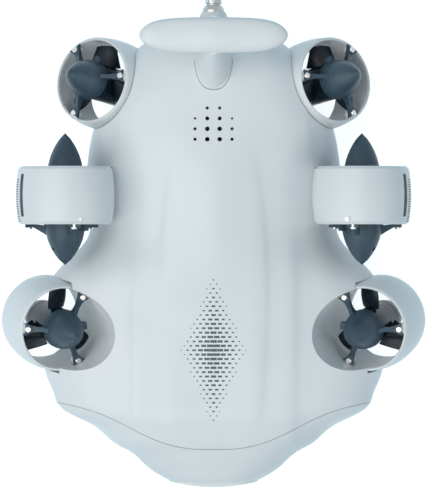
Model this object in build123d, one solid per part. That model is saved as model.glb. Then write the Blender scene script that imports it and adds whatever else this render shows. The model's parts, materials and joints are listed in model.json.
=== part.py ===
from build123d import *
import os
from math import atan2, cos, exp, pi, radians, sin, sqrt, tan

os.makedirs("parts", exist_ok=True)

# Overall hull sizes, in millimetres. +Y is the tail, +X is right seen from above
# with the tail at the top, and the rubber feet stand on Z = 0.
nose_y = -187.0
tail_y = 170.0
hull_half_width = 131.0
crest_z = 107.0
belly_z = 6.0
belt_z = 44.0
wall = 3.0
bowl_wall = 3.07
seat_z = 8.0
split_z = 40.0
fit_gap = 0.3

# Hull sections from nose to tail: place along the hull, then half width, height
# above the belt and depth below it as shares of the hull's own, and how square
# the upper half is.
hull_stations = [
    (0.000, 0.250, 0.42, 0.60, 2.5),
    (0.010, 0.310, 0.46, 0.65, 2.5),
    (0.021, 0.360, 0.49, 0.69, 2.5),
    (0.035, 0.410, 0.53, 0.74, 2.5),
    (0.052, 0.460, 0.58, 0.78, 2.5),
    (0.068, 0.520, 0.62, 0.82, 2.5),
    (0.085, 0.600, 0.67, 0.86, 2.5),
    (0.105, 0.660, 0.71, 0.90, 2.5),
    (0.125, 0.735, 0.75, 0.93, 2.5),
    (0.145, 0.850, 0.78, 0.96, 2.45),
    (0.165, 0.925, 0.80, 0.98, 2.4),
    (0.192, 0.955, 0.84, 1.00, 2.35),
    (0.230, 0.998, 0.89, 1.00, 2.3),
    (0.340, 0.995, 0.97, 1.00, 2.2),
    (0.430, 0.985, 1.00, 1.00, 2.1),
    (0.480, 0.880, 1.00, 1.00, 1.9),
    (0.530, 0.755, 1.00, 1.00, 1.75),
    (0.600, 0.735, 1.00, 1.00, 1.7),
    (0.680, 0.755, 1.00, 0.98, 1.8),
    (0.730, 0.740, 0.98, 0.96, 2.1),
    (0.780, 0.705, 0.96, 0.92, 2.6),
    (0.840, 0.620, 0.93, 0.86, 3.2),
    (0.890, 0.560, 0.88, 0.80, 3.2),
    (0.935, 0.480, 0.81, 0.71, 3.0),
    (0.970, 0.370, 0.73, 0.62, 2.8),
    (1.000, 0.220, 0.64, 0.54, 2.5),
]
low_power = 2.7
low_steps = 12

# Raised spine of the upper shell, and the lower flanks beside it
spine_half_width = 41.5
spine_rise = 2.0
spine_front_y = -137.0
spine_rear_y = 60.0
spine_widest_y = -35.0
spine_taper_front = 0.0005
spine_taper_rear = 0.00095
spine_least_width = 31.0
flank_half_width = 64.0
flank_drop = 2.6
flank_rear_y = 0.0

# Thruster, in its own frame: the nose points along +z and the duct rim is z = 0
rim_radius = 31.5
duct_length = 45.0
duct_wall = 4.4
duct_end_wall = 2.4
rotor_gap = 0.8
nose_radius = 15.5
nose_length = 31.5
barrel_radius = 14.2
barrel_length = 36.0
barrel_wall = 1.8
tail_length = 34.0
tip_gap = 1.5
blade_pitch = 72.0
blade_chord = 24.0
blade_taper = 0.4
blade_thickness = 2.4
blade_camber = 1.2
blade_edge = 0.8
blade_count = 3
shaft_radius = 2.5
shaft_fit = 0.04
stator_gap = 0.6
arm_width = 4.2
foot_inset = 2.5
foot_radius = rim_radius - foot_inset
foot_width = 10.5
foot_thickness = 2.4
arm_count = 3
gland_length = 6.0
gland_width = 5.5
gland_height = 5.0
drain_angle = 152.0
drain_height = 19.0
drain_radius = 1.6
screw_radius = 1.6
screw_head_radius = 2.3
screw_head_height = 1.4
lug_radius = 3.6
lug_depth = 4.0

# Where the left thrusters' rims lie and how far their noses lean, in degrees
front_rim = (-117.8, -67.6, 76.0)
front_lean_in = 22.0
front_lean_forward = 12.0
rear_rim = (-94.9, 125.6, 74.0)
rear_lean_out = 35.0
rear_lean_back = 11.0
mid_drop = 17.0
mid_rim = (-115.0, 13.3, crest_z - mid_drop)
mid_duct_wall = 6.8
mid_duct_end_wall = 5.0

# Bowls that the hull forms round the thrusters
bowl_flare = 3.0
guard_split_x = -110.5

# Vent holes on the crest, seen from above
vent_columns = (-14.3, -4.8, 4.8, 14.3)
vent_first_y = 103.2
vent_pitch = 8.05
vent_inner_radii = (1.2, 1.55, 1.77, 1.77)
vent_outer_radii = (0.0, 0.9, 1.25, 1.25)

# Tail pylon, tail wing and connector
pylon_half_width = 15.0
pylon_length = 54.0
pylon_y = 138.0
wing_half_span = 57.0
wing_half_chord = 13.8
wing_y = 158.5
wing_thickness = 11.0
top_z = 143.0
connector_z = 66.0
connector_boss_length = 8.5
connector_boss_radius = 12.5
connector_radius = 6.2
connector_flange_radius = 8.6
connector_tip_y = 191.5
contact_radius = 0.8
contact_count = 6

# Front fairing seam in plan: half width and Y
seam_points = [
    (0.0, -161.5),
    (14.0, -161.3),
    (39.0, -156.5),
    (62.0, -146.4),
    (88.0, -134.0),
    (122.6, -125.5),
    (160.0, -120.0),
]

# Nose: camera and headlamps
visor_half_width = 35.0
visor_half_height = 17.0
visor_depth = 4.5
visor_curve_radius = 138.0
window_setback = 0.7
camera_z = 44.0
camera_radius = 11.0
camera_length = 26.0
window_radius = 14.0
window_thickness = 2.5
lamp_x = 62.0
lamp_z = 44.0
lamp_radius = 11.0
lens_thickness = 4.0
lamp_depth = 14.0
reflector_floor_y = -150.0
reflector_base_radius = 5.2
reflector_mouth_radius = 9.4
reflector_reach = 24.0

# Inside
housing_radius = 33.0
housing_wall = 2.5
housing_front_y = -105.0
housing_rear_y = 72.0
housing_lift = 6.0
housing_z = seat_z + wall + housing_lift + housing_radius
cap_thickness = 8.0
cap_spigot = 9.0
seal_radius = 1.3
cradle_width = 12.0
cradle_places = (-75.0, 45.0)
battery_length = 110.0
battery_width = 44.0
battery_height = 26.0
tray_thickness = 2.0
board_thickness = 1.6

# Belly plate and feet
plate_length = 84.0
plate_width = 56.0
plate_thickness = 3.0
plate_y = -18.0
plate_holes_x = 30.0
plate_holes_y = 60.0
plate_hole_radius = 1.65
plate_corner = 6.0
plate_screw_x = 22.0
plate_screw_y = 36.0
foot_pad_radius = 8.0
foot_pad_x = 32.0
foot_pad_front_y = -92.0
foot_pad_rear_y = 52.0

# Strip and small screw of the mid ducts, as angles round the duct's axis
strip_angle = 151.0
strip_width = 4.7
strip_length = 39.6
strip_depth = 1.2
duct_screw_angle = 71.5
duct_screw_place = 3.9
duct_screw_radius = 1.5


def signed_power(value, power):
    return (abs(value) ** power) * (1 if value >= 0 else -1)


def smooth_step(value):
    return 1 / (1 + exp(-value))


def crown_places(half_width, spine_edge, flank_edge):
    """Distances from the middle of a section's upper points, close together at the creases."""
    near = min(1.0, half_width / 60)
    flank_edge = min(flank_edge, 0.85 * half_width)
    spine_edge = min(spine_edge, 0.55 * half_width)
    places = [0.0, spine_edge / 2]
    for edge in (spine_edge, flank_edge):
        places += [edge - 3 * near, edge - near, edge + near, edge + 3 * near]
        if edge == spine_edge:
            places.append((spine_edge + flank_edge) / 2)
    last = places[-1]
    for share in (0.32, 0.58, 0.8, 0.94, 1.0):
        places.append(last + share * (half_width - last))
    return places


def hull_points(station, inset):
    """Points round the hull's cross-section at one station, drawn in by the inset."""
    share, half_width, crest, belly, top_power = station
    y = nose_y + inset + share * (tail_y - nose_y - 2 * inset)
    half_width = half_width * hull_half_width - inset
    top = belt_z + (crest_z - belt_z) * crest - inset
    bottom = belt_z - (belt_z - belly_z) * belly + inset
    rise = spine_rise * smooth_step((y - spine_front_y) / 8) * smooth_step((spine_rear_y - y) / 14)
    drop = flank_drop * smooth_step((flank_rear_y - y) / 14)
    taper = spine_taper_rear if y > spine_widest_y else spine_taper_front
    spine_edge = max(spine_half_width - taper * (y - spine_widest_y) ** 2, spine_least_width)
    points = []
    places = crown_places(half_width, spine_edge, flank_half_width)
    for x in [*reversed(places), *[-place for place in places[1:]]]:
        fall = max(1 - (abs(x) / half_width) ** top_power, 0.0)
        z = belt_z + (top - belt_z) * fall ** (1 / top_power)
        z -= rise * smooth_step(abs(x) - spine_edge) * sqrt(fall)
        z -= drop * smooth_step((abs(x) - flank_half_width) / 1.3) * sqrt(fall)
        points.append((x, y, z))
    for step in range(1, low_steps):
        angle = pi + pi * step / low_steps
        x = half_width * signed_power(cos(angle), 2 / low_power)
        z = belt_z + (belt_z - bottom) * signed_power(sin(angle), 2 / low_power)
        points.append((x, y, z))
    return points


def hull_body(inset):
    """Loft of the hull. All its sections share the spacing of the widest one's points."""
    rows = [hull_points(station, inset) for station in hull_stations]
    widest = max(rows, key=lambda points: points[0][0])
    spacing = [0.0]
    for first, second in zip(widest, widest[1:] + widest[:1]):
        spacing.append(spacing[-1] + (Vector(*second) - Vector(*first)).length)
    sections = []
    for points in rows:
        curve = Edge.make_spline(points, periodic=True, parameters=spacing)
        sections.append(Wire([curve]))
    return Part() + Solid.make_loft(sections)


def leaning_plane(rim, toward_x, toward_y):
    """Frame at a duct rim whose +z is the way that the nose points."""
    nose = Vector(tan(radians(toward_x)), tan(radians(toward_y)), 1)
    return Plane(origin=rim, x_dir=(1, 0, -nose.X), z_dir=nose)


front_plane = leaning_plane(front_rim, front_lean_in, -front_lean_forward)
rear_plane = leaning_plane(rear_rim, -rear_lean_out, rear_lean_back)
mid_plane = Plane(origin=mid_rim, x_dir=(1, 0, 0), z_dir=(0, -1, 0))

thruster_planes = {"front": front_plane, "mid": mid_plane, "rear": rear_plane}
arm_phases = {"front": 60.0, "mid": 75.0, "rear": 5.0}
gland_angles = {"front": 10.0, "mid": 25.0, "rear": 65.0}
blade_phases = {"front": 88.0, "mid": 20.0, "rear": 92.0}


def turned(outline):
    """Solid of revolution of a closed outline given as (radius, height) points."""
    face = make_face(Polyline([(radius, 0, height) for radius, height in outline], close=True))
    return revolve(face, Axis.Z)


def ogive(radius, length, start, direction):
    """Outline edge points of a pointed cone with bulging sides."""
    steps = 8
    points = []
    for step in range(steps + 1):
        share = step / steps
        points.append((radius * (1 - share ** 2.0) ** 0.85, start + direction * length * share))
    return points


def ring_profile(end_wall, mid_wall, length):
    """Cross-section of a duct: straight bore, barrel-shaped outside."""
    inner = rim_radius
    lip = end_wall * 0.45
    with BuildSketch(Plane.XZ) as sketch:
        with BuildLine():
            bore = Line((inner, -length + lip), (inner, -lip))
            top_lip = Polyline(
                bore @ 1, (inner + end_wall * 0.3, 0), (inner + end_wall * 0.6, 0), (inner + end_wall, -lip)
            )
            outside = ThreePointArc(
                top_lip @ 1, (inner + mid_wall, -length / 2), (inner + end_wall, -length + lip)
            )
            Polyline(
                outside @ 1, (inner + end_wall * 0.6, -length), (inner + end_wall * 0.3, -length), bore @ 0
            )
        make_face()
    return sketch.sketch


def duct_ring(end_wall, mid_wall, phase):
    """Ring of a duct, its seam turned midway between two screws."""
    ring = revolve(ring_profile(end_wall, mid_wall, duct_length), Axis.Z)
    return Rot(0, 0, phase + 180 / arm_count) * ring


def lugs(phase, places=(0, 1, 2)):
    """Bosses inside the rim that take the screws of the motor mount."""
    result = []
    for index in places:
        spot = Rot(0, 0, phase + 360 * index / arm_count) * Pos(foot_radius, 0, 0)
        boss = spot * Pos(0, 0, -lug_depth / 2) * Cylinder(lug_radius, lug_depth)
        web = spot * Pos(lug_radius / 2, 0, -lug_depth / 2) * Box(lug_radius, 2 * lug_radius, lug_depth)
        result.append(boss + web)
    limit = Cylinder(rim_radius + duct_end_wall / 2, 3 * lug_depth)
    bosses = result[0]
    for boss in result[1:]:
        bosses = bosses + boss
    return bosses & limit


def screw_holes(phase, radius, depth):
    result = []
    for index in range(arm_count):
        spot = Rot(0, 0, phase + 360 * index / arm_count) * Pos(foot_radius, 0, 0)
        result.append(spot * Pos(0, 0, foot_thickness - depth / 2) * Cylinder(radius, depth))
    return result[0] + result[1] + result[2]


def mount_screws(phase):
    """Pan-head screws that hold the three feet of a motor mount."""
    screws = []
    shank_length = foot_thickness + lug_depth - 0.6
    for index in range(arm_count):
        spot = Rot(0, 0, phase + 360 * index / arm_count) * Pos(foot_radius, 0, foot_thickness)
        head = Pos(0, 0, screw_head_height / 2) * Cylinder(screw_head_radius, screw_head_height)
        head = chamfer(head.edges().sort_by(Axis.Z)[-1], 0.45)
        shank = Pos(0, 0, -shank_length / 2) * Cylinder(screw_radius - 0.05, shank_length)
        slot = Pos(0, 0, screw_head_height) * Box(3, 0.7, 1.0)
        screws.append(spot * (head + shank - slot))
    return screws


def motor_mount(phase, gland_angle, drained):
    """Nose cone with three arms that flare to feet on the rim's lugs, a cable gland and,
    on a thruster that lies level, a drain hole."""
    cone = ogive(nose_radius, nose_length, 0, 1)
    outline = [(0.0, 0.0)] + cone
    nose = turned(outline)
    for index in range(arm_count):
        angle = phase + 360 * index / arm_count
        with BuildSketch(Plane.XY) as plan:
            with BuildLine():
                reach = foot_radius + 2.2
                side = Spline(
                    (nose_radius - 6, arm_width / 2 + 1),
                    (nose_radius + 4, arm_width / 2 - 0.6),
                    (reach, foot_width / 2),
                )
                end = ThreePointArc(side @ 1, (reach + 0.35 * tip_gap - 1.6, 0), (reach, -foot_width / 2))
                back = Spline(
                    end @ 1, (nose_radius + 4, -arm_width / 2 + 0.6), (nose_radius - 6, -arm_width / 2 - 1)
                )
                Line(back @ 1, side @ 0)
            make_face()
        with BuildSketch(Plane.XZ) as profile:
            with BuildLine():
                Polyline(
                    (nose_radius - 6, 0.0),
                    (nose_radius + 1, 0.0),
                    (nose_radius + 1.5, 0.6),
                    (foot_radius - 5, 0.0),
                    (rim_radius - 0.3, 0.0),
                    (rim_radius - 0.3, foot_thickness),
                    (foot_radius - 4, foot_thickness),
                    (nose_radius - 2, 9.0),
                    (nose_radius - 6, 9.0),
                    close=True,
                )
            make_face()
        arm = extrude(plan.sketch, amount=12) & extrude(profile.sketch, amount=foot_width, both=True)
        arm = arm & Cylinder(rim_radius - fit_gap, 30)
        nose = nose + Rot(0, 0, angle) * arm
    gland = Pos(nose_radius + 0.5, 0, gland_height / 2) * Box(gland_length, gland_width, gland_height)
    holes = screw_holes(phase, screw_radius, 3 * foot_thickness)
    bore = Pos(0, 0, 5.0) * Cylinder(shaft_radius, 10.0)
    nose = nose + Rot(0, 0, gland_angle) * gland - holes - bore
    if drained:
        spot = Rot(0, 0, drain_angle) * Pos(nose_radius - 5.5, 0, drain_height) * Rot(0, 90, 0)
        nose = nose - spot * Cylinder(drain_radius, 7.0)
    return nose


def blade_section(plane, chord, thick):
    """Cambered lens with blunt edges."""
    edge = blade_edge / 2
    with BuildSketch(plane) as sketch:
        with BuildLine():
            back = ThreePointArc((-chord / 2, edge), (0, blade_camber + thick / 2), (chord / 2, edge))
            lead = Line(back @ 1, (chord / 2, -edge))
            face = ThreePointArc(lead @ 1, (0, blade_camber - thick / 2), (-chord / 2, -edge))
            Line(face @ 1, back @ 0)
        make_face()
    return sketch.sketch


def blade():
    """One helical blade: twisted sections lofted outwards, cut round at the tip."""
    sections = []
    middle = -rotor_gap - barrel_length * 0.46
    tip_radius = rim_radius - tip_gap
    root_radius = barrel_radius - 1.2
    span = tip_radius + 1.5 - root_radius
    for share in (0.0, 0.5, 1.0):
        radius = root_radius + share * span
        pitch = atan2(blade_pitch, 2 * pi * radius)
        plane = Plane(origin=(radius, 0, middle), x_dir=(0, cos(pitch), sin(pitch)), z_dir=(1, 0, 0))
        chord = blade_chord * (1 - blade_taper * share)
        sections.append(blade_section(plane, chord, blade_thickness * (1 - 0.4 * share)))
    reach = Pos(0, 0, middle) * Cylinder(tip_radius, 2 * barrel_length)
    return loft(sections) & reach


def rotor(phase):
    """Rotor barrel that turns on the shaft, with its helical blades."""
    top = -rotor_gap
    bottom = top - barrel_length
    bore = shaft_radius + shaft_fit
    inner = barrel_radius - barrel_wall
    outline = [
        (bore, bottom),
        (barrel_radius - 0.8, bottom),
        (barrel_radius, bottom + 0.8),
        (barrel_radius, top - 0.8),
        (barrel_radius - 0.8, top),
        (inner, top),
        (inner, bottom + 6.0),
        (bore, bottom + 6.0),
    ]
    body = turned(outline)
    single = blade() - Pos(0, 0, (top + bottom) / 2) * Cylinder(barrel_radius - 0.6, 2 * barrel_length)
    for index in range(blade_count):
        body = body + Rot(0, 0, phase + 360 * index / blade_count) * single
    return body


def tail_cone():
    """Pointed cone screwed on the rear of the rotor barrel."""
    start = -rotor_gap - barrel_length
    outline = [(0.0, start)] + ogive(barrel_radius, tail_length, start, -1)
    cone = turned(outline)
    shaft_room = Pos(0, 0, start - 2.0) * Cylinder(shaft_radius + 0.5, 4.0)
    return cone - shaft_room


def stator():
    """Wound core on the fixed shaft, with twelve teeth."""
    top = 0.0
    bottom = -rotor_gap - barrel_length + 6.0 + 1.0
    radius = barrel_radius - barrel_wall - stator_gap
    length = top - bottom
    core = Pos(0, 0, top - length / 2) * (Cylinder(radius, length) - Cylinder(shaft_radius, length))
    slots = 12
    for index in range(slots):
        slot = Rot(0, 0, 360 * index / slots) * Pos(radius, 0, bottom + length * 0.45)
        core = core - slot * Box(6.0, 1.4, length)
    return core


def shaft():
    """Fixed axle, held in the nose cone, that carries the stator and the rotor."""
    bottom = -rotor_gap - barrel_length - 2.0
    top = 9.5
    return Pos(0, 0, (top + bottom) / 2) * Cylinder(shaft_radius, top - bottom)


def bowl_cutter(flare, above, below, grow):
    """Bore of a thruster in the hull, flaring to an open bowl at its mouth and exit."""
    radius = rim_radius + grow
    exit_end = -duct_length - below
    outline = [
        (0, above),
        (radius + flare, above),
        (radius, 2.0),
        (radius, -duct_length),
        (radius + 0.6 * flare, exit_end),
        (0, exit_end),
    ]
    return turned(outline)


def duct_envelope(mid_wall, grow):
    """Outer room of a duct, a little larger, for the hull to seat it in."""
    radius = rim_radius + mid_wall + 0.05 + grow
    return Pos(0, 0, -duct_length / 2) * Cylinder(radius, duct_length + 2 * grow)


def placed(shape, place):
    return thruster_planes[place].location * shape


def both_sides(shape):
    return [shape, mirror(shape, about=Plane.YZ)]


def slab(low, high):
    """Box between two corners."""
    size = [high[i] - low[i] for i in range(3)]
    middle = [(high[i] + low[i]) / 2 for i in range(3)]
    return Pos(*middle) * Box(*size)


def thruster_room(place, grow):
    """Space that the hull leaves for a left thruster, grown by the hull's wall."""
    if place == "mid":
        return placed(duct_envelope(mid_duct_wall, grow), place)
    shape = bowl_cutter(bowl_flare, 60.0, 44.0, grow)
    envelope = placed(duct_envelope(duct_wall, grow), place)
    if place == "front":
        outer_side = slab((-300, -300, -300), (guard_split_x + grow, 300, 300))
        envelope = envelope & outer_side
    return placed(shape, place) + envelope


def seam_zone(gap):
    """Everything in front of the fairing seam, drawn back by the gap."""
    right = [(x, y - gap) for x, y in seam_points]
    left = [(-x, y) for x, y in reversed(right[1:])]
    far = 300.0
    with BuildSketch(Plane.XY) as sketch:
        with BuildLine():
            edge = Spline(*(left + right))
            Polyline(edge @ 1, (far, -100.0), (far, -far), (-far, -far), (-far, -100.0), edge @ 0)
        make_face()
    return extrude(sketch.sketch, amount=far)


def hull_walls():
    """Hull wall with the bowls of the thrusters and the hollow inside."""
    outside = hull_body(0.0)
    inside = hull_body(wall)
    for place in thruster_planes:
        outside = outside - both_sides(thruster_room(place, 0.0))
        inside = inside - both_sides(thruster_room(place, bowl_wall))
    far = 300.0
    outside = outside & slab((-far, -far, seat_z), (far, far, far))
    inside = inside & slab((-far, -far, seat_z + wall), (far, far, far))
    return outside, inside


def vent_cutters():
    """Upright pins through the crest, in four rows that thin out to the sides and rear."""
    pins = []
    for column, x in enumerate(vent_columns):
        radii = vent_outer_radii if column in (0, 3) else vent_inner_radii
        for row, radius in enumerate(radii):
            if radius > 0:
                pins.append(Pos(x, vent_first_y - row * vent_pitch, crest_z) * Cylinder(radius, 40))
    return pins


def hull_parts(outside, inside, pylon, boss_plug):
    """Upper shell, lower shell and front fairing, parted from one hull wall."""
    far = 300.0
    whole = outside - inside - pylon - boss_plug
    visor_hole = Plane.XZ * Pos(0, camera_z) * RectangleRounded(
        2 * visor_half_width, 2 * visor_half_height, visor_half_height - 1
    )
    visor_hole = Pos(0, nose_y, 0) * extrude(visor_hole, amount=wall + 1, both=True)
    front = (whole & seam_zone(0.0)) - visor_hole
    for lamp in both_sides(lamp_room()):
        front = front - lamp
    rear = whole - seam_zone(-fit_gap)
    upper = rear & slab((-far, -far, split_z + fit_gap), (far, far, far))
    lower = rear & slab((-far, -far, 0), (far, far, split_z))
    upper = upper - vent_cutters()
    upper = upper + both_sides(placed(lugs(arm_phases["front"], (0, 2)), "front"))
    upper = upper - both_sides(placed(screw_holes(arm_phases["front"], screw_radius, 30.0), "front"))
    for x in (-plate_holes_x / 2, plate_holes_x / 2):
        for y in (-plate_holes_y / 2, plate_holes_y / 2):
            lower = lower - Pos(x, plate_y + y, seat_z) * Cylinder(plate_hole_radius, 3 * wall)
    for x in (-plate_screw_x, plate_screw_x):
        for y in (-plate_screw_y, plate_screw_y):
            lower = lower - Pos(x, plate_y + y, seat_z) * Cylinder(screw_radius, 3 * wall)
    return upper, lower, front


def lamp_room():
    """Forward-pointing bore of the left headlamp."""
    return Pos(-lamp_x, nose_y + 30, lamp_z) * Rot(90, 0, 0) * Cylinder(lamp_radius, 60)


def oval(plane, half_width, half_height):
    """Closed smooth oval through twelve points, on a plane."""
    points = []
    for step in range(12):
        angle = 2 * pi * step / 12
        points.append(plane.from_local_coords((half_width * cos(angle), half_height * sin(angle))))
    return Wire([Edge.make_spline(points, periodic=True)])


def tail_pylon():
    """Fin post that leans back from the crest to the tail wing."""
    sections = []
    foot_z = crest_z - 16.0
    head_z = top_z - wing_thickness * 0.5
    for share in (0.0, 0.35, 1.0):
        z = foot_z + share * (head_z - foot_z)
        y = pylon_y + (wing_y - pylon_y) * share
        half_length = pylon_length / 2 * (1 - 0.45 * share)
        half_width = pylon_half_width * (1 - 0.42 * share)
        sections.append(oval(Plane(origin=(0, y, z)), half_width, half_length))
    return Part() + Solid.make_loft(sections)


def tail_wing():
    """Slim wing with a lens-shaped plan and full rounded tips."""
    sections = []
    z = top_z - wing_thickness / 2
    spans = (-1.0, -0.92, -0.7, 0.0, 0.7, 0.92, 1.0)
    for share in spans:
        scale = max((1 - abs(share) ** 3.8) ** 0.5, 0.12)
        plane = Plane(origin=(share * wing_half_span, wing_y, z), x_dir=(0, 1, 0), z_dir=(1, 0, 0))
        thick = wing_thickness / 2 * (0.35 + 0.65 * scale) * (scale if abs(share) == 1 else 1)
        sections.append(oval(plane, wing_half_chord * scale, thick))
    return Part() + Solid.make_loft(sections)


def tether_boss():
    """Tapered boss on the tail face that carries the connector."""
    outline = [
        (0, -wall),
        (connector_boss_radius, -wall),
        (connector_boss_radius, 1.0),
        (connector_boss_radius - 3.0, connector_boss_length),
        (0, connector_boss_length),
    ]
    return tail_frame.location * turned(outline)


def tether_connector():
    """Nickel-plated inlet: flange cone, grooved barrel and open socket."""
    tip = connector_tip_y - tail_y
    flange = connector_boss_length
    outline = [
        (0, -8.0),
        (connector_radius, -8.0),
        (connector_radius, flange),
        (connector_flange_radius, flange),
        (connector_flange_radius, flange + 2.0),
        (connector_radius + 0.6, flange + 5.0),
        (connector_radius - 0.6, flange + 5.4),
        (connector_radius - 0.6, flange + 6.2),
        (connector_radius + 0.2, flange + 6.6),
        (connector_radius + 0.2, tip - 0.8),
        (connector_radius - 0.6, tip),
        (0, tip),
    ]
    socket_depth = 7.0
    socket = Pos(0, 0, tip - socket_depth / 2) * Cylinder(connector_radius - 1.6, socket_depth)
    barrel = turned(outline) - socket
    flats = 8
    for index in range(flats):
        flute = Rot(0, 0, 360 * index / flats) * Pos(connector_radius + 0.9, 0, tip - 3.0)
        barrel = barrel - flute * Cylinder(1.2, 4.0)
    return tail_frame.location * barrel


def connector_insert():
    """Contact carrier in the socket, with its pins."""
    tip = connector_tip_y - tail_y
    floor = tip - 7.0
    carrier = Pos(0, 0, floor + 1.0) * Cylinder(connector_radius - 1.65, 2.0)
    for index in range(contact_count):
        spot = Rot(0, 0, 360 * index / contact_count) * Pos(2.6, 0, floor + 3.5)
        carrier = carrier + spot * Cylinder(contact_radius / 2, 4.0)
    return tail_frame.location * carrier


def camera_bezel():
    """Rounded visor on the nose with the opening of the camera window."""
    outline = Plane.XZ * RectangleRounded(2 * visor_half_width, 2 * visor_half_height, visor_half_height - 1)
    curve = Pos(0, visor_curve_radius - visor_depth, 0) * Cylinder(visor_curve_radius, 3 * visor_half_height)
    plate = extrude(outline, amount=visor_depth) & curve
    back = Plane.XZ * RectangleRounded(
        2 * visor_half_width - fit_gap, 2 * visor_half_height - fit_gap, visor_half_height - 1.2
    )
    plate = plate + extrude(back, amount=-wall)
    axis = Rot(90, 0, 0)
    seat_front = visor_depth - window_setback
    seat = axis * Pos(0, 0, seat_front) * Cylinder(window_radius, 2 * window_thickness)
    bore = axis * Cylinder(window_radius - 1.5, 4 * visor_depth)
    return Pos(0, nose_y, camera_z) * (plate - seat - bore)


def camera_window():
    """Flat glass port in the bezel's rebate."""
    disc = Rot(90, 0, 0) * Pos(0, 0, visor_depth - window_setback - window_thickness / 2)
    glass = disc * Cylinder(window_radius - 0.05, window_thickness)
    return Pos(0, nose_y, camera_z) * glass


def camera_module():
    """Lens barrel and sensor housing on the back of the bezel."""
    outline = [
        (0, -wall - camera_length),
        (camera_radius + 3.5, -wall - camera_length),
        (camera_radius + 3.5, -wall),
        (camera_radius, -wall),
        (camera_radius, 0.5),
        (camera_radius - 3, 0.5),
        (camera_radius - 5, -3.0),
        (0, -1.5),
    ]
    return Pos(0, nose_y, camera_z) * Rot(90, 0, 0) * turned(outline)


def headlamp_lens(hull):
    """Clear cover of the left headlamp, flush with the fairing's skin."""
    clearance = 0.1
    rod = Pos(-lamp_x, nose_y + 30, lamp_z) * Rot(90, 0, 0) * Cylinder(lamp_radius - clearance, 60)
    return (rod & hull) - Pos(0, lens_thickness, 0) * hull


def headlamp_body(hull):
    """Lamp can behind the left cover, with its reflector cone and cooling grooves."""
    clearance = 0.1
    rod = Pos(-lamp_x, nose_y + 30, lamp_z) * Rot(90, 0, 0) * Cylinder(lamp_radius - clearance, 60)
    rod = rod & (Pos(0, lens_thickness, 0) * hull)
    can = rod - slab((-200, nose_y + 31 + lamp_depth, 0), (0, 100, 200))
    reach = reflector_reach
    cone = turned([(0, 0), (reflector_base_radius, 0), (reflector_mouth_radius, reach), (0, reach)])
    can = can - Pos(-lamp_x, reflector_floor_y, lamp_z) * Rot(90, 0, 0) * cone
    for index in range(3):
        groove = Pos(-lamp_x, nose_y + 42.5 - 4 * index, lamp_z) * Rot(90, 0, 0)
        can = can - groove * (Cylinder(lamp_radius + 1, 1.6) - Cylinder(lamp_radius - 2, 1.6))
    return can


def along_hull(y):
    """Frame on the pressure housing's axis, +z towards the tail."""
    return Plane(origin=(0, y, housing_z), x_dir=(1, 0, 0), z_dir=(0, 1, 0)).location


def pressure_housing():
    length = housing_rear_y - housing_front_y
    middle = along_hull((housing_front_y + housing_rear_y) / 2)
    return middle * (Cylinder(housing_radius, length) - Cylinder(housing_radius - housing_wall, length))


def end_cap():
    """Plug of the housing's front end, with its seal groove, drawn about z = 0."""
    plug_radius = housing_radius - housing_wall
    outline = [
        (0, -cap_thickness),
        (housing_radius, -cap_thickness),
        (housing_radius, 0),
        (plug_radius - 0.05, 0),
        (plug_radius - 0.05, 4.0 - seal_radius),
        (plug_radius - 1.9 * seal_radius, 4.0 - seal_radius),
        (plug_radius - 1.9 * seal_radius, 4.0 + seal_radius),
        (plug_radius - 0.05, 4.0 + seal_radius),
        (plug_radius - 0.05, cap_spigot),
        (0, cap_spigot),
    ]
    return fillet(turned(outline).edges().sort_by(Axis.Z)[0], 2.0)


def cap_seal():
    """Seal ring in the cap's groove, eight-sided in section."""
    middle = housing_radius - housing_wall - 0.05 - 0.9 * seal_radius
    outline = []
    for index in range(8):
        angle = radians(22.5 + 45 * index)
        outline.append((middle + 0.9 * seal_radius * cos(angle), 4.0 + 0.9 * seal_radius * sin(angle)))
    return turned(outline)


def cradle(y, inside):
    """Saddle between the hull's floor and the housing."""
    block = slab((-26, y - cradle_width / 2, 0), (26, y + cradle_width / 2, housing_z - 12))
    saddle = block & inside
    return saddle - along_hull(y) * Cylinder(housing_radius, 2 * cradle_width)


def tray():
    """Sled in the housing, with posts for the board."""
    inner = housing_radius - housing_wall
    top = -9.0
    half_width = sqrt(inner ** 2 - (top - tray_thickness) ** 2) - 0.1
    front_end = housing_front_y + cap_spigot + 2.0
    rear_end = housing_rear_y - cap_spigot - 2.0
    plate = slab((-half_width, front_end, top - tray_thickness), (half_width, rear_end, top))
    middle = (front_end + rear_end) / 2
    for x in (-16, 16):
        for y in (middle - 50, middle + 50):
            plate = plate + Pos(x, y, top - tray_thickness - 2.0) * Cylinder(2.5, 4.0)
    return Pos(0, 0, housing_z) * plate


def battery():
    """Pack on the sled, with rounded corners."""
    block = Box(battery_width, battery_length, battery_height)
    block = fillet(block.edges().filter_by(Axis.Y), 4.0)
    middle = (housing_front_y + housing_rear_y) / 2
    return Pos(0, middle, housing_z - 9.0 + battery_height / 2) * block


def main_board():
    """Circuit board under the sled, with its larger components."""
    top = -9.0 - tray_thickness - 4.0
    board = slab((-20, -60, top - board_thickness), (20, 60, top))
    chips = [(-8, -30, 14), (9, -8, 11), (-6, 22, 16)]
    for x, y, size in chips:
        board = board + Pos(x, y, top - board_thickness - 1.0) * Box(size, size, 2.0)
    return Pos(0, (housing_front_y + housing_rear_y) / 2, housing_z) * board


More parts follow.
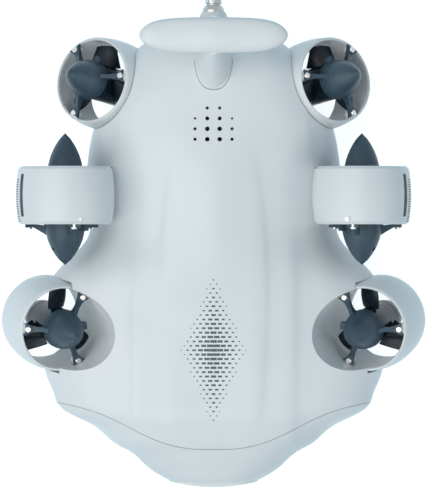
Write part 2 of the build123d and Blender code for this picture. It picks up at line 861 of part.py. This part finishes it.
def belly_plate():
    """Accessory plate under the belly, with four threaded holes."""
    plate = extrude(RectangleRounded(plate_width, plate_length, plate_corner), amount=plate_thickness)
    for x in (-plate_holes_x / 2, plate_holes_x / 2):
        for y in (-plate_holes_y / 2, plate_holes_y / 2):
            plate = plate - Pos(x, y, 0) * Cylinder(plate_hole_radius, 20)
    for x in (-plate_screw_x, plate_screw_x):
        for y in (-plate_screw_y, plate_screw_y):
            countersink = Cylinder(screw_head_radius + 0.2, 2 * 1.5)
            plate = plate - Pos(x, y, 0) * (Cylinder(screw_radius, 20) + countersink)
    return Pos(0, plate_y, seat_z - plate_thickness) * plate


def belly_screws():
    screws = []
    for x in (-plate_screw_x, plate_screw_x):
        for y in (-plate_screw_y, plate_screw_y):
            head = Pos(0, 0, 0.9) * Cylinder(screw_head_radius, 1.2)
            shank = Pos(0, 0, 3.6) * Cylinder(screw_radius - 0.05, 4.4)
            slot = Pos(0, 0, 0.3) * Box(3, 0.7, 0.8)
            screws.append(Pos(x, plate_y + y, seat_z - plate_thickness) * (head + shank - slot))
    return screws


def rubber_feet():
    """Domed pads that the vehicle stands on."""
    feet = []
    for x in (-foot_pad_x, foot_pad_x):
        for y in (foot_pad_front_y, foot_pad_rear_y):
            pad = Pos(x, y, seat_z / 2) * Cylinder(foot_pad_radius, seat_z)
            feet.append(fillet(pad.edges().sort_by(Axis.Z)[0], 2.0))
    return feet


def strip_room():
    """Slot on the outer side of the left mid duct, in the duct's frame."""
    radius = rim_radius + mid_duct_wall
    spot = Rot(0, 0, strip_angle) * Pos(radius, 0, -duct_length / 2)
    return spot * Box(2 * strip_depth, strip_width, strip_length)


def duct_screw():
    """Small screw near the front edge of the left mid duct."""
    radius = rim_radius + mid_duct_wall
    spot = Rot(0, 0, duct_screw_angle) * Pos(radius - 0.6, 0, -duct_screw_place) * Rot(0, 90, 0)
    return spot * Cylinder(duct_screw_radius, 3.0)


def joined(solids):
    return Compound([solid for shape in solids for solid in shape.solids()])


tail_frame = Plane(origin=(0, tail_y, connector_z), x_dir=(1, 0, 0), z_dir=(0, 1, 0))
parts = {}


def keep_sides(name, shape):
    for side, half in zip(("left", "right"), both_sides(shape)):
        parts[name + "_" + side] = half


hull_outside, hull_inside = hull_walls()
skin = hull_body(0.0)
pylon = tail_pylon()
wing = tail_wing()
boss_plug = tether_boss()
boss = boss_plug - tail_frame.location * Cylinder(connector_radius, 40)
upper, lower, front = hull_parts(hull_outside, hull_inside, pylon, boss_plug)
parts["upper_shell"] = upper
parts["lower_shell"] = lower
parts["front_fairing"] = front
parts["tail_pylon"] = pylon - wing
parts["tail_wing"] = wing
parts["connector_boss"] = boss
parts["tether_connector"] = tether_connector()
parts["connector_insert"] = connector_insert()
parts["camera_bezel"] = camera_bezel()
parts["camera_window"] = camera_window()
parts["camera_module"] = camera_module()
keep_sides("headlamp_lens", headlamp_lens(skin))
keep_sides("headlamp_body", headlamp_body(skin))

parts["pressure_housing"] = pressure_housing()
front_cap = along_hull(housing_front_y)
rear_cap = along_hull(housing_rear_y) * Rot(180, 0, 0)
parts["housing_cap_front"] = front_cap * end_cap()
parts["housing_cap_rear"] = rear_cap * end_cap()
parts["housing_seals"] = joined([front_cap * cap_seal(), rear_cap * cap_seal()])
parts["housing_cradles"] = joined([cradle(y, hull_inside) for y in cradle_places])
parts["electronics_tray"] = tray()
parts["battery_pack"] = battery()
parts["main_board"] = main_board()
parts["belly_plate"] = belly_plate()
parts["belly_screws"] = joined(belly_screws())
parts["rubber_feet"] = joined(rubber_feet())

front_ring = duct_ring(duct_end_wall, duct_wall, arm_phases["front"]) + lugs(arm_phases["front"], (1,))
front_ring = placed(front_ring - screw_holes(arm_phases["front"], screw_radius, 30.0), "front")
guard_side = slab((-300, -300, -300), (guard_split_x - fit_gap, 300, 300))
keep_sides("front_guard", front_ring & guard_side)

mid_ring = duct_ring(mid_duct_end_wall, mid_duct_wall, arm_phases["mid"]) + lugs(arm_phases["mid"])
mid_ring = mid_ring - screw_holes(arm_phases["mid"], screw_radius, 30.0)
keep_sides("mid_slot_strip", placed(mid_ring & strip_room(), "mid"))
keep_sides("mid_duct", placed(mid_ring - strip_room() - duct_screw(), "mid"))

rear_ring = duct_ring(duct_end_wall, duct_wall, arm_phases["rear"]) + lugs(arm_phases["rear"])
rear_ring = rear_ring - screw_holes(arm_phases["rear"], screw_radius, 30.0)
keep_sides("rear_duct", placed(rear_ring, "rear"))

stators = []
shafts = []
screws = [half for half in both_sides(placed(duct_screw(), "mid"))]
for place in thruster_planes:
    mount = motor_mount(arm_phases[place], gland_angles[place], place == "mid")
    keep_sides(place + "_motor_mount", placed(mount, place))
    keep_sides(place + "_rotor", placed(rotor(blade_phases[place]), place))
    keep_sides(place + "_tail_cone", placed(tail_cone(), place))
    stators += both_sides(placed(stator(), place))
    shafts += both_sides(placed(shaft(), place))
    for screw in mount_screws(arm_phases[place]):
        screws += both_sides(placed(screw, place))
parts["motor_stators"] = joined(stators)
parts["motor_shafts"] = joined(shafts)
parts["duct_screws"] = joined(screws)

for name, shape in parts.items():
    export_step(shape, "parts/" + name + ".step")
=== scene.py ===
import json
from math import cos, pi, radians, sin

import bmesh
import bpy
from mathutils import Matrix, Vector


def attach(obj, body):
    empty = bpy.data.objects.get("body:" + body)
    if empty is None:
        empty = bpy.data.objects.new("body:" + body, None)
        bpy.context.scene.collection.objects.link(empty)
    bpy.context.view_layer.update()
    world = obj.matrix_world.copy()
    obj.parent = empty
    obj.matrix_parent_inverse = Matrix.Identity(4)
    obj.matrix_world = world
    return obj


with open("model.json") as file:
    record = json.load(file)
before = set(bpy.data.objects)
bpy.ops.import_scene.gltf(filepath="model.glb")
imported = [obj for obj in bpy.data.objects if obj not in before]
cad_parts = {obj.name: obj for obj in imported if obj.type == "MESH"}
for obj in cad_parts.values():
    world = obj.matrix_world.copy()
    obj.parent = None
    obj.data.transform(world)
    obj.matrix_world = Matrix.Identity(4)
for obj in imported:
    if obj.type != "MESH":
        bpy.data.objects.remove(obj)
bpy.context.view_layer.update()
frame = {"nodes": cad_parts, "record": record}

mm = 0.001

# The photograph: looked at straight down, tail at the top, through a long lens
view_height = 379.2 * mm
view_middle_y = -1.9 * mm
measured_level = 76 * mm
camera_distance = 5.0
sensor = 36.0


def linear(hex_colour):
    """sRGB hex colour as linear values with full alpha."""
    values = []
    for index in (1, 3, 5):
        share = int(hex_colour[index:index + 2], 16) / 255
        values.append(share / 12.92 if share <= 0.04045 else ((share + 0.055) / 1.055) ** 2.4)
    return (*values, 1.0)


def add(tree, kind, links=None, **settings):
    """Adds a node, with its settings, then its inputs by name or number: values, or sockets to link."""
    node = tree.nodes.new("ShaderNode" + kind)
    for key, value in settings.items():
        setattr(node, key, value)
    for key, value in (links or {}).items():
        if isinstance(value, bpy.types.NodeSocket):
            tree.links.new(value, node.inputs[key])
        else:
            node.inputs[key].default_value = value
    return node


def new_material(name, colour, roughness, metallic=0.0, ior=1.5):
    """Material with one Principled shader, whose plain values are set on its own sockets."""
    material = bpy.data.materials.new(name)
    material.use_nodes = True
    tree = material.node_tree
    shader = tree.nodes["Principled BSDF"]
    shader.inputs["Base Color"].default_value = linear(colour)
    shader.inputs["Roughness"].default_value = roughness
    shader.inputs["Metallic"].default_value = metallic
    shader.inputs["IOR"].default_value = ior
    return material, tree, shader


def grain(tree, size, detail=2.0):
    """Noise whose lumps are about the given size in metres, on Object coordinates."""
    place = add(tree, "TexCoord").outputs["Object"]
    return add(tree, "TexNoise", {"Vector": place, "Scale": 0.6 / size, "Detail": detail}).outputs["Fac"]


def roughen(tree, shader, noise, low, high):
    """Roughness that wanders between two values."""
    spread = add(
        tree,
        "MapRange",
        {"Value": noise, "From Min": 0.3, "From Max": 0.7, "To Min": low, "To Max": high},
    )
    tree.links.new(spread.outputs["Result"], shader.inputs["Roughness"])


def tint(tree, shader, noise, first, second):
    """Colour that wanders between two close shades."""
    spread = add(tree, "MapRange", {"Value": noise, "From Min": 0.35, "From Max": 0.65})
    blend = add(
        tree,
        "Mix",
        {0: spread.outputs["Result"], 6: linear(first), 7: linear(second)},
        data_type="RGBA",
    )
    tree.links.new(blend.outputs[2], shader.inputs["Base Color"])
    return blend.outputs[2]


def dimple(tree, shader, height, depth):
    """Raises and sinks the surface by the height signal, over the given depth in metres."""
    bump = add(tree, "Bump", {"Height": height, "Distance": depth, "Strength": 1.0})
    tree.links.new(bump.outputs["Normal"], shader.inputs["Normal"])


# Finishes


def moulded_white_abs(name):
    """Satin white ABS: the eye sees a smooth shell with a broad soft sheen and a faint
    orange-peel from the mould."""
    material, tree, shader = new_material(name, "#E3E8EB", 0.36)
    colour = tint(tree, shader, grain(tree, 60 * mm), "#E0E5E8", "#E7EBED")
    roughen(tree, shader, grain(tree, 25 * mm), 0.33, 0.42)
    dimple(tree, shader, grain(tree, 1.2 * mm), 0.004 * mm)
    return material, tree, shader, colour


def printed_white_abs():
    """The upper shell's white ABS with a pad-printed field of slate dashes in a long lozenge
    on its crest, and the shut line round the foot of the tail pylon."""
    material, tree, shader, colour = moulded_white_abs("white_abs_printed")
    place = add(tree, "TexCoord").outputs["Object"]
    middle_y = -84 * mm
    half_width = 25 * mm
    half_length = 60 * mm
    row_pitch = 3.4 * mm
    column_pitch = 5.0 * mm
    crest_floor_z = 60 * mm
    parts = add(tree, "SeparateXYZ", {0: place})
    x, y, z = parts.outputs

    def maths(operation, first, second=0.0, third=0.0):
        return add(tree, "Math", {0: first, 1: second, 2: third}, operation=operation).outputs[0]

    rows = maths("DIVIDE", maths("SUBTRACT", y, middle_y), row_pitch)
    row = maths("ROUND", rows)
    along = maths("ABSOLUTE", maths("SUBTRACT", rows, row))
    shift = maths("MULTIPLY", maths("PINGPONG", row, 1.0), 0.5)
    columns = maths("ADD", maths("DIVIDE", x, column_pitch), shift)
    column = maths("ROUND", columns)
    across = maths("ABSOLUTE", maths("SUBTRACT", columns, column))
    dash_x = maths("MULTIPLY", maths("SUBTRACT", column, shift), column_pitch)
    dash_y = maths("MULTIPLY", row, row_pitch)
    spread = maths(
        "ADD",
        maths("DIVIDE", maths("ABSOLUTE", dash_x), half_width),
        maths("DIVIDE", maths("ABSOLUTE", dash_y), half_length),
    )
    fullness = maths("SUBTRACT", 1.0, spread)
    length = maths("MULTIPLY_ADD", fullness, 0.62, 0.1)
    inside_x = maths("SUBTRACT", length, maths("MULTIPLY", across, 1.25))
    inside_y = maths("SUBTRACT", maths("MULTIPLY_ADD", fullness, 0.22, 0.12), along)
    on_crest = maths("GREATER_THAN", z, crest_floor_z)
    printed = maths("MULTIPLY", maths("GREATER_THAN", fullness, 0.0), on_crest)
    dash = maths("MULTIPLY", maths("GREATER_THAN", inside_x, 0.0), maths("GREATER_THAN", inside_y, 0.0))
    mask = maths("MULTIPLY", printed, dash)
    ink = add(tree, "Mix", {0: mask, 6: colour, 7: linear("#44545F")}, data_type="RGBA")

    # Shut line where the tail pylon's foot is let into the crest: a rounded front, open at the rear
    socket_y = 146 * mm
    socket_half_width = 14.9 * mm
    socket_half_length = 28.5 * mm
    socket_end_y = 141 * mm
    squareness = 2.4
    line_half_width = 0.014
    share_x = maths("DIVIDE", maths("ABSOLUTE", x), socket_half_width)
    share_y = maths("DIVIDE", maths("ABSOLUTE", maths("SUBTRACT", y, socket_y)), socket_half_length)
    reach_x = maths("POWER", share_x, squareness)
    reach_y = maths("POWER", share_y, squareness)
    reach = maths("ABSOLUTE", maths("SUBTRACT", maths("ADD", reach_x, reach_y), 1.0))
    thin = maths("LESS_THAN", reach, squareness * line_half_width)
    near = maths("MULTIPLY", thin, maths("LESS_THAN", y, socket_end_y))
    shut = add(
        tree,
        "Mix",
        {0: maths("MULTIPLY", near, on_crest), 6: ink.outputs[2], 7: linear("#7F8D94")},
        data_type="RGBA",
    )
    tree.links.new(shut.outputs[2], shader.inputs["Base Color"])
    return material


def textured_slate_nylon():
    """Glass-filled nylon in slate grey: fine even sparkle-free grain with a soft sheen."""
    material, tree, shader = new_material("slate_nylon", "#384D5B", 0.38)
    shader.inputs["Specular IOR Level"].default_value = 0.3
    tint(tree, shader, grain(tree, 12 * mm), "#344957", "#405563")
    roughen(tree, shader, grain(tree, 5 * mm), 0.32, 0.42)
    dimple(tree, shader, grain(tree, 0.5 * mm, 3.0), 0.012 * mm)
    return material


def glossy_rotor_plastic():
    """Dark polycarbonate of the propellers: polished, so the edges catch narrow highlights."""
    material, tree, shader = new_material("rotor_polycarbonate", "#13222E", 0.25, ior=1.58)
    shader.inputs["Specular IOR Level"].default_value = 0.2
    tint(tree, shader, grain(tree, 10 * mm), "#101D28", "#172835")
    roughen(tree, shader, grain(tree, 6 * mm), 0.22, 0.32)
    dimple(tree, shader, grain(tree, 3 * mm), 0.01 * mm)
    return material


def spark_eroded_black_plastic():
    """Black ABS with a fine spark-eroded texture that dulls its sheen."""
    material, tree, shader = new_material("black_abs", "#14181B", 0.5)
    tint(tree, shader, grain(tree, 8 * mm), "#121619", "#1B2024")
    roughen(tree, shader, grain(tree, 4 * mm), 0.42, 0.55)
    dimple(tree, shader, grain(tree, 0.4 * mm, 3.0), 0.015 * mm)
    return material


def turned_nickel():
    """Bright nickel plate on turned brass: fine rings across the axis break the reflection."""
    material, tree, shader = new_material("nickel_plate", "#A3A8AA", 0.2, metallic=1.0)
    place = add(tree, "TexCoord").outputs["Object"]
    rings = add(tree, "TexWave", {"Vector": place, "Scale": 0.16 / (0.4 * mm)}, bands_direction="Y")
    roughen(tree, shader, grain(tree, 3 * mm), 0.16, 0.28)
    dimple(tree, shader, rings.outputs["Fac"], 0.01 * mm)
    return material


def polished_glass():
    """Clear port glass, with the faint cool tone of its thickness."""
    material, tree, shader = new_material("port_glass", "#F2F8FA", 0.02, ior=1.5)
    shader.inputs["Transmission Weight"].default_value = 1.0
    roughen(tree, shader, grain(tree, 20 * mm), 0.015, 0.04)
    return material


def anodised_barrel():
    """Black anodised lens barrel with fine turning rings."""
    material, tree, shader = new_material("black_anodised", "#1A1B1E", 0.35, metallic=0.6)
    place = add(tree, "TexCoord").outputs["Object"]
    rings = add(tree, "TexWave", {"Vector": place, "Scale": 0.16 / (0.5 * mm)}, bands_direction="Y")
    roughen(tree, shader, grain(tree, 4 * mm), 0.3, 0.42)
    dimple(tree, shader, rings.outputs["Fac"], 0.02 * mm)
    return material


def blasted_aluminium(name, colour, second):
    """Bead-blasted, anodised aluminium: an even, matt metal grain."""
    material, tree, shader = new_material(name, colour, 0.45, metallic=1.0)
    tint(tree, shader, grain(tree, 15 * mm), colour, second)
    roughen(tree, shader, grain(tree, 2 * mm), 0.38, 0.5)
    dimple(tree, shader, grain(tree, 0.3 * mm, 3.0), 0.01 * mm)
    return material


def moulded_rubber():
    """Black nitrile rubber: dull, with a slight bloom."""
    material, tree, shader = new_material("nitrile_rubber", "#17191A", 0.75, ior=1.52)
    tint(tree, shader, grain(tree, 6 * mm), "#151718", "#202324")
    roughen(tree, shader, grain(tree, 3 * mm), 0.68, 0.82)
    dimple(tree, shader, grain(tree, 0.5 * mm, 3.0), 0.03 * mm)
    return material


def moulded_grey_plastic():
    """Dark grey acetal of the cradles."""
    material, tree, shader = new_material("grey_acetal", "#3A3C3F", 0.5)
    tint(tree, shader, grain(tree, 10 * mm), "#36383B", "#414447")
    dimple(tree, shader, grain(tree, 0.6 * mm), 0.02 * mm)
    return material


def shrink_wrap():
    """Blue shrink film round the cells, slightly wrinkled."""
    material, tree, shader = new_material("shrink_film", "#234A7C", 0.3)
    tint(tree, shader, grain(tree, 20 * mm), "#20446F", "#2A558C")
    dimple(tree, shader, grain(tree, 8 * mm), 0.3 * mm)
    return material


def solder_mask():
    """Green solder mask over glass-epoxy board, with the weave just showing."""
    material, tree, shader = new_material("solder_mask", "#12543A", 0.3)
    tint(tree, shader, grain(tree, 4 * mm), "#104C34", "#176345")
    dimple(tree, shader, grain(tree, 0.8 * mm), 0.02 * mm)
    return material


def turned_steel():
    """Stainless steel screws and shafts, bright from the lathe."""
    material, tree, shader = new_material("stainless_steel", "#D5D7D8", 0.25, metallic=1.0)
    roughen(tree, shader, grain(tree, 1.5 * mm), 0.2, 0.34)
    dimple(tree, shader, grain(tree, 0.6 * mm), 0.01 * mm)
    return material


def stator_laminations():
    """Laminated core steel: fine stacked lines along the axis, and the brown of varnish."""
    material, tree, shader = new_material("lamination_steel", "#7A6250", 0.4, metallic=0.8)
    place = add(tree, "TexCoord").outputs["Object"]
    sheets = add(tree, "TexWave", {"Vector": place, "Scale": 0.16 / (0.7 * mm)}, bands_direction="Z")
    roughen(tree, shader, grain(tree, 3 * mm), 0.35, 0.5)
    dimple(tree, shader, sheets.outputs["Fac"], 0.05 * mm)
    return material


finishes = {
    "hull": moulded_white_abs("white_abs")[0],
    "black_plastic": spark_eroded_black_plastic(),
    "nickel": turned_nickel(),
    "glass": polished_glass(),
    "lens_barrel": anodised_barrel(),
    "lamp_metal": blasted_aluminium("lamp_aluminium", "#B4B7BA", "#BEC1C3"),
    "housing_metal": blasted_aluminium("housing_aluminium", "#8C9195", "#969B9F"),
    "seal_rubber": moulded_rubber(),
    "cradle_plastic": moulded_grey_plastic(),
    "battery_wrap": shrink_wrap(),
    "board": solder_mask(),
    "screw_steel": turned_steel(),
    "stator_steel": stator_laminations(),
    "slate_plastic": textured_slate_nylon(),
    "rotor_plastic": glossy_rotor_plastic(),
}
printed_shell = printed_white_abs()
for subpart in frame["record"]["subparts"]:
    node = frame["nodes"][subpart["node"]]
    node.data.materials.clear()
    shell = subpart["node"] == "upper_shell"
    node.data.materials.append(printed_shell if shell else finishes[subpart["material_slot"]])


# Pieces finer than the shells: index ribs of the mid ducts, lamp emitters and the camera's lens


def phosphor():
    """Yellow phosphor over the light chips: dull and faintly grainy."""
    material, tree, shader = new_material("led_phosphor", "#E2C65A", 0.6)
    tint(tree, shader, grain(tree, 0.6 * mm), "#DDBF50", "#E8CF6B")
    dimple(tree, shader, grain(tree, 0.2 * mm), 0.02 * mm)
    return material


def white_solder_mask():
    """White solder mask of the lamp's chip board, slightly uneven where copper lies under it."""
    material, tree, shader = new_material("white_solder_mask", "#E9EBE8", 0.35)
    tint(tree, shader, grain(tree, 2 * mm), "#E4E6E3", "#EDEFEC")
    dimple(tree, shader, grain(tree, 1 * mm), 0.02 * mm)
    return material


def piece_from(form, name, material):
    """Turns a finished bmesh into a piece that rides on the hull."""
    bmesh.ops.recalc_face_normals(form, faces=form.faces)
    mesh = bpy.data.meshes.new(name)
    form.to_mesh(mesh)
    form.free()
    mesh.materials.append(material)
    piece = bpy.data.objects.new(name, mesh)
    bpy.context.scene.collection.objects.link(piece)
    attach(piece, "hull")
    return piece


# Bevels of the fine pieces, and how far they sink into what carries them
rib_bevel = 0.1 * mm
rib_sink = 0.1 * mm
board_bevel = 0.15 * mm
chip_bevel = 0.2 * mm

duct_axis_x = 115.0 * mm
duct_axis_z = 90.0 * mm
duct_middle_y = 35.8 * mm
duct_radius = 38.3 * mm
duct_crown_radius = 114.8 * mm
rib_front_y = 15.6 * mm
rib_pitch = 1.9 * mm
rib_count = 18
rib_size = (0.8 * mm, 0.7 * mm, 4.2 * mm)
rib_lift = 16.6


def index_ribs(side, direction):
    """Comb of fine ribs beside the slot strip, each sunk in the duct's crowned skin."""
    form = bmesh.new()
    angle = radians(rib_lift) if direction > 0 else pi - radians(rib_lift)
    for index in range(rib_count):
        y = rib_front_y + index * rib_pitch
        fall = duct_crown_radius - (duct_crown_radius ** 2 - (y - duct_middle_y) ** 2) ** 0.5
        radius = duct_radius - fall - rib_sink
        place = Vector((direction * duct_axis_x + radius * cos(angle), y, duct_axis_z + radius * sin(angle)))
        turn = Matrix.Rotation(-angle, 4, "Y")
        matrix = Matrix.Translation(place) @ turn @ Matrix.Diagonal((*rib_size, 1.0))
        bmesh.ops.create_cube(form, size=1.0, matrix=matrix)
    edges = list(form.edges)
    bmesh.ops.bevel(form, geom=edges, offset=rib_bevel, segments=2, profile=0.5, affect="EDGES", material=-1)
    piece_from(form, "mid_index_ribs_" + side, finishes["black_plastic"])


lamp_x = 62.0 * mm
lamp_z = 44.0 * mm
emitter_y = -150.0 * mm
emitter_board_radius = 4.9 * mm
emitter_board_thickness = 0.8 * mm
emitter_board_gap = 0.02 * mm
chip_size = 2.4 * mm
chip_thickness = 0.7 * mm
chip_spacing = 1.6 * mm
chip_lift = 0.6 * mm
facing_front = Matrix.Rotation(radians(90), 4, "X")


def lamp_emitter(side, direction, phosphor_finish, board_finish):
    """Round chip board with four light chips on the floor of a headlamp's reflector."""
    board = bmesh.new()
    board_y = emitter_y - emitter_board_thickness / 2 - emitter_board_gap
    centre = Vector((direction * lamp_x, board_y, lamp_z))
    bmesh.ops.create_cone(
        board,
        cap_ends=True,
        segments=64,
        radius1=emitter_board_radius,
        radius2=emitter_board_radius,
        depth=emitter_board_thickness,
        matrix=Matrix.Translation(centre) @ facing_front,
    )
    rims = [edge for edge in board.edges if len(edge.link_faces) == 2 and edge.calc_face_angle() > 1.0]
    bmesh.ops.bevel(
        board, geom=rims, offset=board_bevel, segments=2, profile=0.5, affect="EDGES", material=-1
    )
    piece_from(board, "lamp_board_" + side, board_finish)
    chips = bmesh.new()
    for step_x in (-1, 1):
        for step_z in (-1, 1):
            chip_place = centre + Vector((step_x * chip_spacing, -chip_lift, step_z * chip_spacing))
            size = Matrix.Diagonal((chip_size, chip_thickness, chip_size, 1.0))
            bmesh.ops.create_cube(chips, size=1.0, matrix=Matrix.Translation(chip_place) @ size)
    bmesh.ops.bevel(
        chips, geom=list(chips.edges), offset=chip_bevel, segments=3, profile=0.5, affect="EDGES", material=-1
    )
    piece_from(chips, "lamp_chips_" + side, phosphor_finish)


lens_y = -184.1 * mm
lens_z = 44.0 * mm
lens_radius = 5.7 * mm
lens_height = 2.4 * mm
lens_wall = 0.6 * mm


def camera_lens():
    """Domed front element in the camera's barrel, cut from a ball and given a wall."""
    form = bmesh.new()
    ball_radius = (lens_radius ** 2 + lens_height ** 2) / (2 * lens_height)
    bmesh.ops.create_uvsphere(form, u_segments=64, v_segments=48, radius=ball_radius)
    floor_height = ball_radius - lens_height
    bmesh.ops.bisect_plane(
        form,
        geom=list(form.verts) + list(form.edges) + list(form.faces),
        plane_co=(0, 0, floor_height),
        plane_no=(0, 0, 1),
        clear_inner=True,
    )
    bmesh.ops.solidify(form, geom=list(form.faces), thickness=lens_wall)
    seat = Matrix.Translation((0, lens_y, lens_z)) @ facing_front @ Matrix.Translation((0, 0, -floor_height))
    bmesh.ops.transform(form, matrix=seat, verts=form.verts)
    piece = piece_from(form, "camera_front_element", finishes["glass"])
    for face in piece.data.polygons:
        face.use_smooth = True


index_ribs("left", -1)
index_ribs("right", 1)
led_phosphor = phosphor()
led_mask = white_solder_mask()
lamp_emitter("left", -1, led_phosphor, led_mask)
lamp_emitter("right", 1, led_phosphor, led_mask)
camera_lens()


# Camera, floor and light

camera_data = bpy.data.cameras.new("camera")
camera_data.sensor_width = sensor
camera_data.lens = sensor / 2 / (view_height / 2 / camera_distance)
camera_data.clip_end = 100.0
camera = bpy.data.objects.new("camera", camera_data)
bpy.context.scene.collection.objects.link(camera)
camera.location = (0.0, view_middle_y, measured_level + camera_distance)
bpy.context.scene.camera = camera

floor_half_size = 6.0
floor_mesh = bmesh.new()
bmesh.ops.create_grid(floor_mesh, x_segments=1, y_segments=1, size=floor_half_size)
floor_data = bpy.data.meshes.new("floor")
floor_mesh.to_mesh(floor_data)
floor_mesh.free()
floor = bpy.data.objects.new("floor", floor_data)
bpy.context.scene.collection.objects.link(floor)


def seen_rays(tree):
    """One for camera, glossy and transmission rays, which show the white surroundings."""
    path = add(tree, "LightPath")
    first = add(
        tree,
        "Math",
        {0: path.outputs["Is Camera Ray"], 1: path.outputs["Is Glossy Ray"]},
        operation="MAXIMUM",
    )
    second = add(
        tree,
        "Math",
        {0: first.outputs[0], 1: path.outputs["Is Transmission Ray"]},
        operation="MAXIMUM",
    )
    return second.outputs[0]


def white_floor():
    """Matt white paper sweep that looks white to the camera and keeps the shadow."""
    material = bpy.data.materials.new("white_paper")
    material.use_nodes = True
    tree = material.node_tree
    tree.nodes.clear()
    paper = add(tree, "BsdfDiffuse", {"Color": linear("#BDD5E2")})
    glow = add(tree, "Emission", {"Color": (1, 1, 1, 1), "Strength": 0.82})
    dark = add(tree, "Emission", {"Color": (0, 0, 0, 1), "Strength": 0.0})
    lift = add(tree, "MixShader", {0: seen_rays(tree), 1: dark.outputs[0], 2: glow.outputs[0]})
    total = add(tree, "AddShader", {0: paper.outputs[0], 1: lift.outputs[0]})
    add(tree, "OutputMaterial", {"Surface": total.outputs[0]})
    return material


floor_data.materials.append(white_floor())

world = bpy.data.worlds.new("studio")
bpy.context.scene.world = world
world.use_nodes = True
world_tree = world.node_tree
world_tree.nodes.clear()
ambient = add(world_tree, "Background", {"Color": linear("#BEDBE9"), "Strength": 0.5})
surround = add(world_tree, "Background", {"Color": (1, 1, 1, 1), "Strength": 1.0})
seen = add(
    world_tree,
    "MixShader",
    {0: seen_rays(world_tree), 1: ambient.outputs[0], 2: surround.outputs[0]},
)
add(world_tree, "OutputWorld", {"Surface": seen.outputs[0]})


def softbox(name, place, aim, size, power):
    """Square area lamp, very slightly warm, that faces the aim point."""
    lamp_data = bpy.data.lights.new(name, "AREA")
    lamp_data.color = linear("#FFF6EE")[:3]
    lamp_data.size = size
    lamp_data.energy = power
    lamp = bpy.data.objects.new(name, lamp_data)
    bpy.context.scene.collection.objects.link(lamp)
    lamp.location = place
    lamp.rotation_mode = "QUATERNION"
    lamp.rotation_quaternion = (Vector(aim) - Vector(place)).to_track_quat("-Z", "Y")


hull_middle = (0, 0, 0.06)
softbox("key_lamp", (-1.0, -0.3, 2.0), hull_middle, 2.6, 36)
softbox("fill_lamp", (1.6, -0.6, 1.5), hull_middle, 1.4, 5)

bpy.context.scene.view_settings.view_transform = "Standard"
